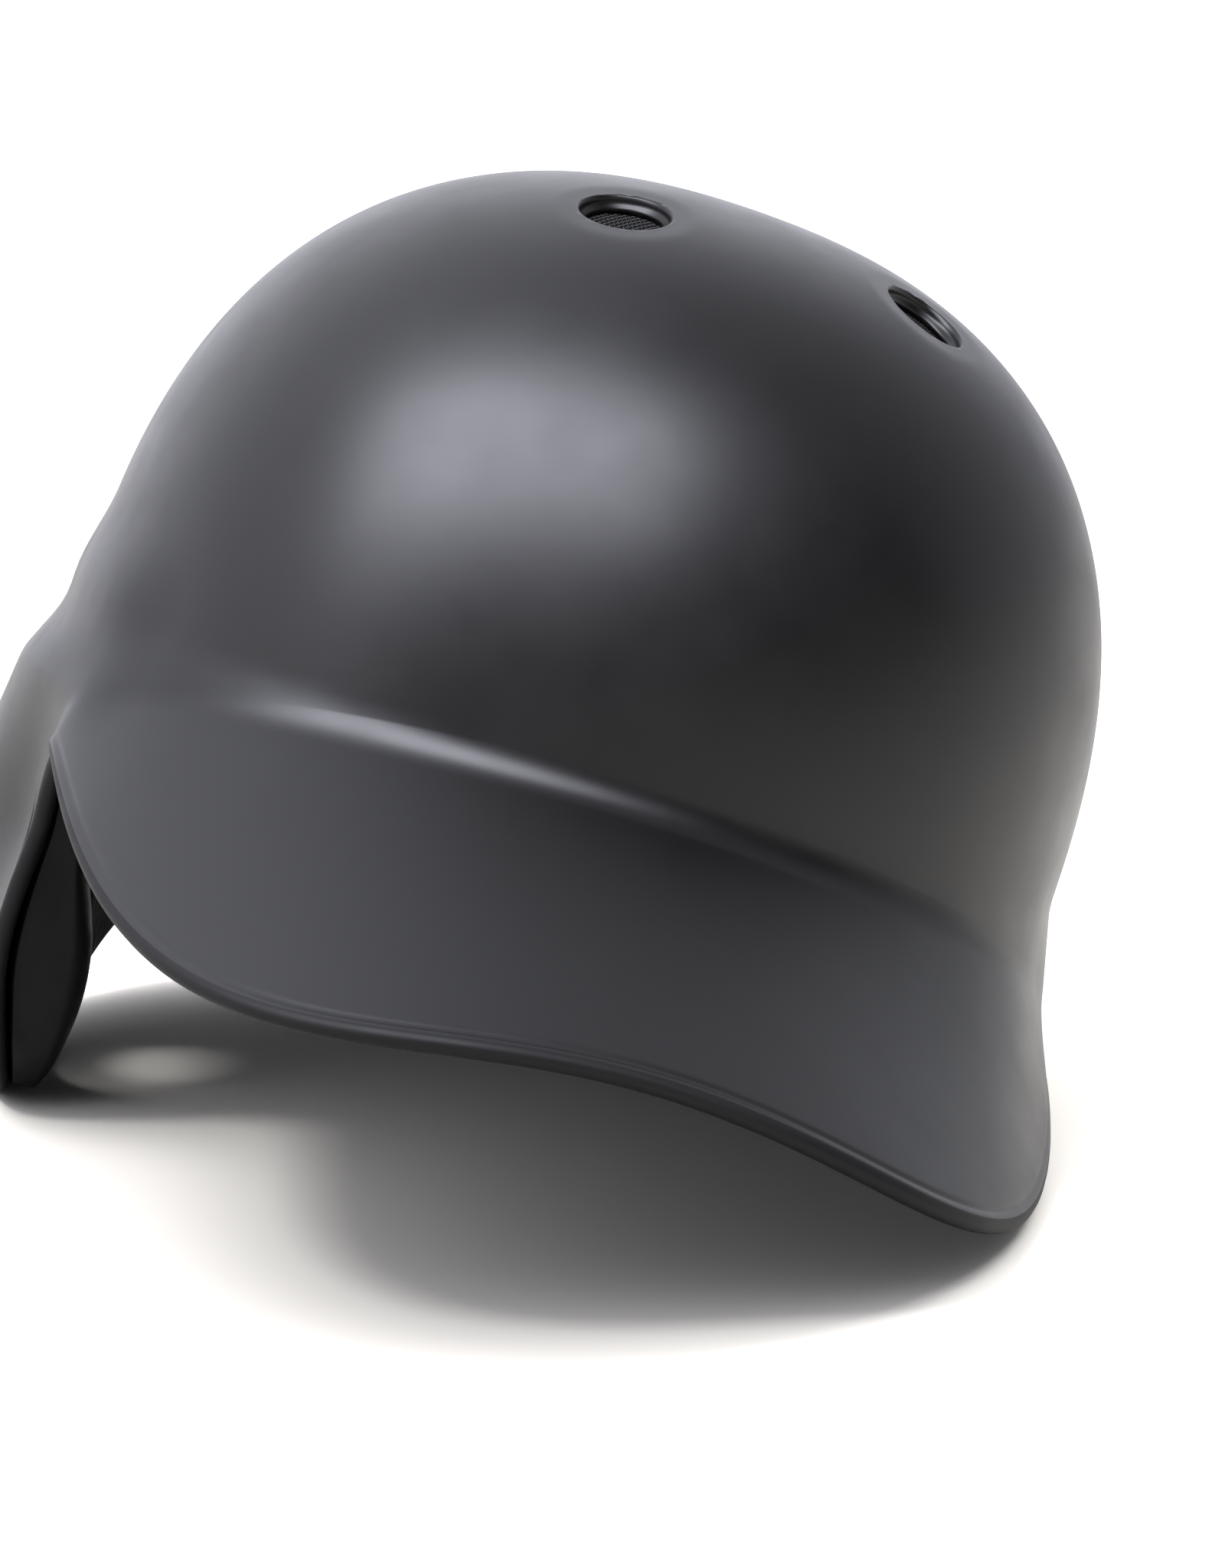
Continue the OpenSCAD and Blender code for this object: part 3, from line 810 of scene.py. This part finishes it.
def stitches(name, path, materials, length=2.6, gap=1.1, radius=0.28):
    """A row of stitches along a path, each arching out of the cloth and back."""
    path = np.asarray(path, float)
    run = np.concatenate([[0], np.cumsum(np.linalg.norm(np.diff(path, axis=0), axis=1))])
    points, faces = [], []
    for start in np.arange(gap, run[-1] - length, length + gap):
        at = start + np.linspace(0, 1, 6) * length
        line = np.stack([np.interp(at, run, path[:, k]) for k in range(3)], -1)
        out = unit(line.mean(0) * [-1, -1, -0.4])
        line += (0.45 * np.sin(np.linspace(0, math.pi, 6)) - 0.25)[:, None] * out
        p, f = tube_mesh(line, radius, 6, False)
        faces += [tuple(i + sum(len(q) for q in points) for i in face) for face in f]
        points.append(p)
    obj = new_object(name, to_rest(np.concatenate(points)), faces, materials)
    fix_normals(obj)
    return obj


# ---------- fabrics and foams ----------
def pad_fabric():
    """Black warp-knit mesh over foam: holes about 1.2 mm apart."""
    m = Nodes("pad_knit")
    place = m.add("ShaderNodeUVMap", uv_map="weave").outputs["UV"]
    threads = 270
    knit = m.math("MULTIPLY", m.wave(place, threads, "X"), m.wave(place, threads, "Y"))
    fuzz = m.noise(2600, 3)
    shade = m.mix(knit, grey(0.006), grey(0.026, 1.04))
    m.set(Base_Color=m.mix(m.map(m.noise(35, 3), 0.35, 0.65, 0, 0.35), shade, grey(0.034)),
          Roughness=0.86, Sheen_Weight=0.25, Sheen_Roughness=0.5, Specular_IOR_Level=0.25)
    m.set(Normal=m.bump(knit, 0.7, 0.0003, m.bump(fuzz, 0.3, 0.0001)))
    return m.material


def ear_leather():
    """Soft synthetic leather with a fine grain."""
    m = Nodes("ear_leather")
    grain = m.map(m.cells("DISTANCE_TO_EDGE", 1500), 0.0, 0.12, 0, 1)
    m.set(Base_Color=m.mix(m.noise(40, 3), grey(0.005), grey(0.008, 1.04)),
          Roughness=m.map(m.noise(200, 3), 0.3, 0.7, 0.48, 0.60), Specular_IOR_Level=0.25)
    m.set(Normal=m.bump(grain, 0.25, 0.00006, m.bump(m.noise(90, 2), 0.10, 0.0005)))
    return m.material


def foam():
    """Closed-cell foam, moulded: small cells under a skin."""
    m = Nodes("liner_foam")
    cells = m.cells("F1", 420)
    m.set(Base_Color=m.mix(cells, grey(0.030), grey(0.014)), Roughness=0.82, Specular_IOR_Level=0.3)
    m.set(Normal=m.bump(cells, 0.5, 0.0004))
    return m.material


def thread():
    m = Nodes("stitching")
    m.set(Base_Color=m.mix(m.noise(800, 2), grey(0.02), grey(0.035)), Roughness=0.6)
    m.set(Normal=m.bump(m.noise(3000, 2), 0.4, 0.0001))
    return m.material


def tape_material(name, low, high, scale):
    """The hooks or loops of a fastening disc, as a field of small tufts."""
    m = Nodes(name)
    tufts = m.cells("F1", scale)
    m.set(Base_Color=m.mix(tufts, grey(high), grey(low)), Roughness=0.8, Sheen_Weight=0.3)
    m.set(Normal=m.bump(tufts, 0.8, 0.0004))
    return m.material


def wire_material():
    m = Nodes("vent_wire")
    m.set(Base_Color=m.mix(m.noise(500, 2), grey(0.012), grey(0.022)), Roughness=0.5)
    m.set(Normal=m.bump(m.noise(2500, 2), 0.2, 0.00005))
    return m.material


# ---------- the pieces ----------
def finish_piece(obj, node=None):
    if node:
        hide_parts(node)
    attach(obj, "root")


LINER_MID = 40               # height of the middle of the wall liners' plan
LINER_TOP = 84
WALL_LINERS = (              # name, bearings, low edge, height over the rim where it follows that
    ("front_liner", -50, 50, 3, None),
    ("left_liner", 54, 112, -20, 12),
    ("right_liner", -112, -54, -14, None),
    ("rear_liner", 116, 244, -40, 14),
)
CROWN_LINER = (70, 84, 52)   # half width, half length, corner radius
LINER_HOLE_R = 8.2


def make_wall_liner(material, name, low_turn, high_turn, low, over_rim):
    middle = (low_turn + high_turn) / 2
    place, radius = wall_place(middle, LINER_MID)
    half_u = radius * (high_turn - low_turn) / 2 * DEG
    half_v = (LINER_TOP - low) / 2

    def warp(u, v):
        share = (v + half_v) / (2 * half_v)
        turn = (middle + u / radius / DEG + 180) % 360 - 180
        start = rim_z(turn) + over_rim if over_rim else low
        return u, mix(start, LINER_TOP, share) - LINER_MID
    slab, _ = make_slab(name + "_foam", place, half_u, half_v, LINER_D, LINER_T, [material], corner=9,
                        edge=2.5, steps=(72, 56), warp=warp)
    finish_piece(slab, name)


def make_liners():
    material = foam()
    for liner in WALL_LINERS:
        make_wall_liner(material, *liner)
    half_u, half_v, corner = CROWN_LINER
    slab, _ = make_slab("crown_liner_foam", crown_place(0, 8), half_u, half_v, LINER_D, LINER_T, [material],
                        corner=corner, edge=2.5, steps=(80, 96))
    cut(slab, [lathe(f"liner_cut_{k}", [(LINER_HOLE_R, -30), (LINER_HOLE_R, 8)], p, n, [material])
               for k, (p, n) in enumerate(vent_places())])
    finish_piece(slab, "crown_liner")


PUFF_CAP = 1.4               # how far a pad's cover may swell
PIPING_R = 0.9
STITCH_END = 7               # clear of the pad's edge
ALONG = (("u", 0, 3, 1.6),)  # one sewn channel along a pad: direction, place, depth, width
ACROSS = (("v", 0, 3, 1.6),)
WALL_PADS = (                # name, bearing, half its bearings, low and high edge, channels
    ("forehead_pad", 0, 36, 4, 34, (("v", -22, 3, 1.6), ("v", 22, 3, 1.6))),
    ("left_temple_pad", 53, 12, 2, 38, ()),
    ("right_temple_pad", -53, 12, 2, 38, ()),
    ("left_side_pad", 90, 18, 10, 62, ALONG),
    ("right_side_pad", -90, 18, 10, 62, ALONG),
    ("rear_left_pad", 138, 18, 8, 62, ALONG),
    ("rear_right_pad", -138, 18, 8, 62, ALONG),
    ("nape_pad", 180, 30, -32, 0, ACROSS),
)


def make_pad(materials, name, place, half_u, half_v, channels, corner=9):
    """A comfort pad: a puffed cover, piping round its back and stitches along its channels."""
    fabric, seam = materials
    slab, outline = make_slab(name + "_cushion", place, half_u, half_v, PAD_D, PAD_T - PUFF_CAP, [fabric],
                              corner=corner, edge=6, crown=1.0, channels=channels, steps=(48, 36))
    puff(slab, PUFF_CAP * MM)
    finish_piece(slab, name)
    finish_piece(piping(name + "_piping", outline, PIPING_R, [seam]))
    for k, (along, at, deep, _) in enumerate(channels):
        half = (half_u if along == "u" else half_v) - STITCH_END
        t = np.arange(-half, half, 1.2)
        depth = PAD_D + PAD_T - PUFF_CAP - deep + 0 * t
        line = place(t, at + 0 * t, depth) if along == "u" else place(at + 0 * t, t, depth)
        finish_piece(stitches(f"{name}_stitches_{k}", line, [seam]))


def make_pads():
    materials = pad_fabric(), thread()
    for name, turn, half_turn, low, high, channels in WALL_PADS:
        place, radius = wall_place(turn, (low + high) / 2)
        make_pad(materials, name, place, radius * half_turn * DEG, (high - low) / 2, channels)
    make_pad(materials, "crown_pad", crown_place(0, 6), 30, 40, ALONG + ACROSS, corner=26)


# The ear pad: one thick block on the flap, seen from in front
EAR_PUFF_CAP = 1.2
EAR_PAD_LOW = -106.5
EAR_PAD_HIGH = -22.0
EAR_PAD_REAR = -130.0                  # bearing that its rear edge stays in front of
EAR_PAD_HALF = np.array([36.0, 40.5, 13.0])
EAR_PAD_ROUND = 6.0
EAR_PAD_STEPS = 44
EAR_PAD_GAP = 0.6                      # between the shell and the pad's back
EAR_PAD_LEAST = 6.0                    # least thickness
EAR_FACE_OUT = 1.2                     # room for the face to swell
EAR_BACK_SQUASH = 0.3                  # share of the back edge's rounding that is kept
EAR_PAD_HOLE_R = 16.0
EAR_SCOOP_R = 15.0                     # the ear's recess runs down and inwards from the hole
EAR_SCOOP_AXIS = (-0.77, -0.02, 0.64)
EAR_CUT = (-60, 10)                    # from and to, along the hole's axis


def flap_turns(z):
    """Bearings of the flap's front and rear edges at a height."""
    table = np.array(FLAP_RIM, float)
    low = int(np.argmin(table[:, 1]))
    front = np.interp(z, table[low + 1:, 1], table[low + 1:, 0])
    rear = np.interp(-z, -table[:low + 1, 1], table[:low + 1, 0])
    return front, rear


def rounded_block(steps, half, radius):
    """Points from -1 to 1 over a block with rounded edges, side by side, and their faces."""
    t = slab_grid(steps)
    p, q = np.meshgrid(t, t, indexing="ij")
    sides = []
    for axis in range(3):
        for sign in (-1, 1):
            trio = [p, q]
            trio.insert(axis, sign * np.ones((steps, steps)))
            side = np.stack(trio, -1)
            sides.append(side if sign * (-1) ** axis > 0 else side[:, ::-1])
    cube = np.concatenate([side.reshape(-1, 3) for side in sides])
    core = np.clip(cube * half, radius - half, half - radius)
    points = (core + radius * unit(cube * half - core)) / half
    quads = grid_quads(steps, steps)
    return points, np.concatenate([quads + k * steps * steps for k in range(len(sides))])


def ear_pad_points(box):
    """The block's points moved between the flap's wall and the pad's face, and those of its back."""
    z = mix(EAR_PAD_LOW, EAR_PAD_HIGH, (box[:, 1] + 1) / 2)
    front, rear = flap_turns(z)
    turn = mix(np.maximum(rear + 2.5, EAR_PAD_REAR), front - 1.2, (box[:, 0] + 1) / 2)
    back = wall_at(turn, z, np.full(len(z), SHELL_T + EAR_PAD_GAP))
    face = back.copy()
    face[:, 0] = np.maximum(spline(EAR_FACE, z) + EAR_FACE_OUT, back[:, 0] + EAR_PAD_LEAST)
    share = (box[:, 2] + 1) / 2
    low = EAR_PAD_ROUND / (2 * EAR_PAD_HALF[2])
    share = np.where(share < low, EAR_BACK_SQUASH * share,
                     mix(EAR_BACK_SQUASH * low, 1, (share - low) / (1 - low)))
    return mix(back, face, share[:, None]), back


def make_ear_pad():
    leather = ear_leather()
    box, faces = rounded_block(EAR_PAD_STEPS, EAR_PAD_HALF, EAR_PAD_ROUND)
    points, back = ear_pad_points(box)
    pad = new_object("ear_pad_cushion", to_rest(points), faces, [leather])
    fix_normals(pad, merge=0.00002)
    cover = points_of(pad.data).reshape(-1, 3)
    off_wall = np.min(np.linalg.norm(cover[:, None] - to_rest(back[::7])[None], axis=2), axis=1)
    hold(pad, 1 - smooth((off_wall - 0.0015) / 0.004))
    puff(pad, EAR_PUFF_CAP * MM, slack=0.0, stiff=8)
    hole = wall(EAR_HOLE_TURN, EAR_HOLE_Z)
    straight = wall_normal(EAR_HOLE_TURN, EAR_HOLE_Z)
    cutters = [lathe(name, [(radius, h) for h in EAR_CUT], hole, axis, [leather])
               for name, radius, axis in (("ear_pad_cut", EAR_PAD_HOLE_R, straight),
                                          ("ear_pad_scoop", EAR_SCOOP_R, EAR_SCOOP_AXIS))]
    cut(pad, cutters)
    finish_piece(pad, "ear_pad")


MESH_NAMES = ("vent_mesh_front_right", "vent_mesh_front_left",
              "vent_mesh_rear_right", "vent_mesh_rear_left")
MESH_R = 11.3
MESH_PITCH = 0.95            # from wire to wire
MESH_WIRES = 11              # on each side of the middle one
MESH_DEPTH = 4.2             # below the dome's surface
WEAVE = 0.14                 # how far a wire goes over and under
WIRE_R = 0.17
WIRE_SIDES = 5


def woven_wire(place, normal, along, side, offset, over):
    """One wire of a vent's mesh: hoops of points; over is 1 or -1, for how its weave starts."""
    reach = math.sqrt(MESH_R**2 - offset**2)
    t = np.arange(-reach, reach, MESH_PITCH / 4)
    lift = WEAVE * over * np.cos(np.pi * t / MESH_PITCH)
    path = crown_at(*plan_of(place + t[:, None] * along + offset * side), MESH_DEPTH - lift)
    angle = circle(WIRE_SIDES)
    ring = (np.cos(angle)[None, :, None] * side + np.sin(angle)[None, :, None] * normal) * WIRE_R
    return path[:, None] + ring


def make_vent_meshes():
    """Woven discs under the vents, wire over wire."""
    material = wire_material()
    reach = MESH_WIRES * MESH_PITCH
    for name, (place, normal) in zip(MESH_NAMES, vent_places()):
        across = unit(np.cross(normal, CROSS_HINT))
        other = np.cross(normal, across)
        points, faces = [], []
        count = 0
        for axis, (along, side) in enumerate([(across, other), (other, across)]):
            for k, offset in enumerate(np.arange(-reach, reach + MESH_PITCH / 2, MESH_PITCH)):
                hoops = woven_wire(place, normal, along, side, offset, (-1) ** (k + axis))
                points.append(hoops.reshape(-1, 3))
                faces += hoop_faces(len(hoops), WIRE_SIDES, start=count)
                count += len(points[-1])
        disc = new_object(name + "_weave", to_rest(np.concatenate(points)), faces, [material])
        finish_piece(disc, name)


TAPES = (("hook_discs", 0.006, 0.03, 1100), ("loop_discs", 0.012, 0.045, 1700))


def dress_tapes():
    """The fastening discs keep their CAD shape and get a material."""
    for node, low, high, scale in TAPES:
        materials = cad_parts[node].data.materials
        materials.clear()
        materials.append(tape_material(node + "_tape", low, high, scale))


# ---------------------------------------------------------------------------
# Studio
# ---------------------------------------------------------------------------
EYE = Vector((-0.13214, -0.80470, 0.22527))
TARGET = Vector((0.01736, 0.01483, 0.06334))
LENS = 92.79


def make_camera():
    data = bpy.data.cameras.new("camera")
    data.lens = LENS
    data.sensor_width = 36
    data.clip_start = 0.01
    camera = bpy.data.objects.new("camera", data)
    camera.location = EYE
    camera.rotation_euler = (TARGET - EYE).to_track_quat("-Z", "Y").to_euler()
    bpy.context.collection.objects.link(camera)
    bpy.context.scene.camera = camera


def aimed(name, data, direction):
    light = bpy.data.objects.new(name, data)
    light.rotation_euler = direction.to_track_quat("-Z", "Y").to_euler()
    bpy.context.collection.objects.link(light)
    return light


def area_light(name, place, aim, power, width, height=None, colour=(1, 1, 1)):
    data = bpy.data.lights.new(name, "AREA")
    data.energy = power
    data.color = colour
    data.size = width
    if height:
        data.shape = "RECTANGLE"
        data.size_y = height
    light = aimed(name, data, Vector(aim) - place)
    light.location = place
    return light


def sun_light(name, direction, strength, angle):
    data = bpy.data.lights.new(name, "SUN")
    data.energy = strength
    data.angle = angle * DEG
    aimed(name, data, -direction).visible_glossy = False


CAMERA_SIDE = Vector((-0.1795, -0.9838, 0.0))
CAMERA_RIGHT = Vector((0.9838, -0.1795, 0.0))


def from_object(right, near, up, distance):
    """A place in a direction given as the camera sees it: to its right, towards it, and up."""
    return (CAMERA_RIGHT * right + CAMERA_SIDE * near + Vector((0, 0, up))).normalized() * distance


# Directions are given as right, near and up
BRIGHT_SIDE = (-0.80, -0.40, 0.20)    # the best lit of the studio's pale walls
RIGHT_SIDE = (0.75, -0.62, 0.25)      # a second, dimmer patch of wall
DARK_SIDE = (0.32, 0.94, 0.08)        # where the camera stands
WALL_BRIGHT = 2.05
WALL_PLAIN = 0.54
WALL_RIGHT = 0.52
DARK_SHARE = 0.02                     # of the walls' light that is left round the camera
WALL_COLOUR = (0.92, 0.93, 1.0, 1)
BOX_COLOUR = (0.90, 0.91, 1.0)
BOX_SIZE = (1.60, 0.72)
SUNS = (                              # name, direction, strength, angle across in degrees
    ("key", (-0.51, 0.08, 0.86), 1.0, 11),
    ("overhead", (-0.42, -0.22, 0.88), 0.8, 26),
    ("overhead_soft", (-0.10, -0.45, 0.85), 0.5, 60),
)
FLOOR_HALF = 30                       # metres


def side_share(tree, where, side, low, high, at_low, at_high):
    """A value that runs smoothly over the sky with the direction's cosine to one side."""
    dot = tree.nodes.new("ShaderNodeVectorMath")
    dot.operation = "DOT_PRODUCT"
    dot.inputs[1].default_value = from_object(*side, 1)
    ramp = tree.nodes.new("ShaderNodeMapRange")
    ramp.interpolation_type = "SMOOTHSTEP"
    for key, value in zip(("From Min", "From Max", "To Min", "To Max"), (low, high, at_low, at_high)):
        ramp.inputs[key].default_value = value
    tree.links.new(where.outputs["Generated"], dot.inputs[0])
    tree.links.new(dot.outputs["Value"], ramp.inputs["Value"])
    return ramp.outputs["Result"]


def make_world():
    """Pale studio walls, best lit behind on the left and dark round the camera."""
    world = bpy.data.worlds.new("studio")
    world.use_nodes = True
    tree = world.node_tree
    where = tree.nodes.new("ShaderNodeTexCoord")
    walls = side_share(tree, where, BRIGHT_SIDE, -0.35, 0.55, WALL_PLAIN, WALL_BRIGHT)
    right = side_share(tree, where, RIGHT_SIDE, 0.45, 1.0, 0, WALL_RIGHT)
    camera_end = side_share(tree, where, DARK_SIDE, 0.30, 0.80, 1, DARK_SHARE)
    lit, both = tree.nodes.new("ShaderNodeMath"), tree.nodes.new("ShaderNodeMath")
    lit.operation, both.operation = "ADD", "MULTIPLY"
    tree.links.new(walls, lit.inputs[0])
    tree.links.new(right, lit.inputs[1])
    tree.links.new(lit.outputs[0], both.inputs[0])
    tree.links.new(camera_end, both.inputs[1])
    background = tree.nodes["Background"]
    background.inputs["Color"].default_value = WALL_COLOUR
    tree.links.new(both.outputs[0], background.inputs["Strength"])
    bpy.context.scene.world = world


def floor_material():
    """Warm white paper."""
    m = Nodes("white_floor")
    m.set(Base_Color=m.mix(m.noise(3, 2), (0.89, 0.86, 0.80, 1), (0.90, 0.875, 0.825, 1)),
          Roughness=0.8, Specular_IOR_Level=0.1)
    return m.material


def make_floor():
    corners = [(x * FLOOR_HALF, y * FLOOR_HALF, 0) for x, y in ((-1, -1), (1, -1), (1, 1), (-1, 1))]
    new_object("studio_floor", corners, [(0, 1, 2, 3)], [floor_material()])


def make_studio():
    make_floor()
    make_world()
    box = area_light("highlight_box", from_object(-0.17, 0.60, 0.80, 1.3), (0, -0.05, 0.12), 51, *BOX_SIZE,
                     BOX_COLOUR)
    box.visible_diffuse = False
    for name, direction, strength, angle in SUNS:
        sun_light(name, from_object(*direction, 1), strength, angle)
    fill = area_light("right_fill", from_object(0.45, -0.30, 0.45, 0.72), CAMERA_RIGHT * 0.19, 0.5, 0.25)
    fill.data.spread = 60 * DEG
    fill.visible_glossy = False
    settings = bpy.context.scene.view_settings
    settings.view_transform = "Standard"
    settings.gamma = 0.84


make_shell()
make_vent_meshes()
make_liners()
make_pads()
make_ear_pad()
dress_tapes()
make_camera()
make_studio()
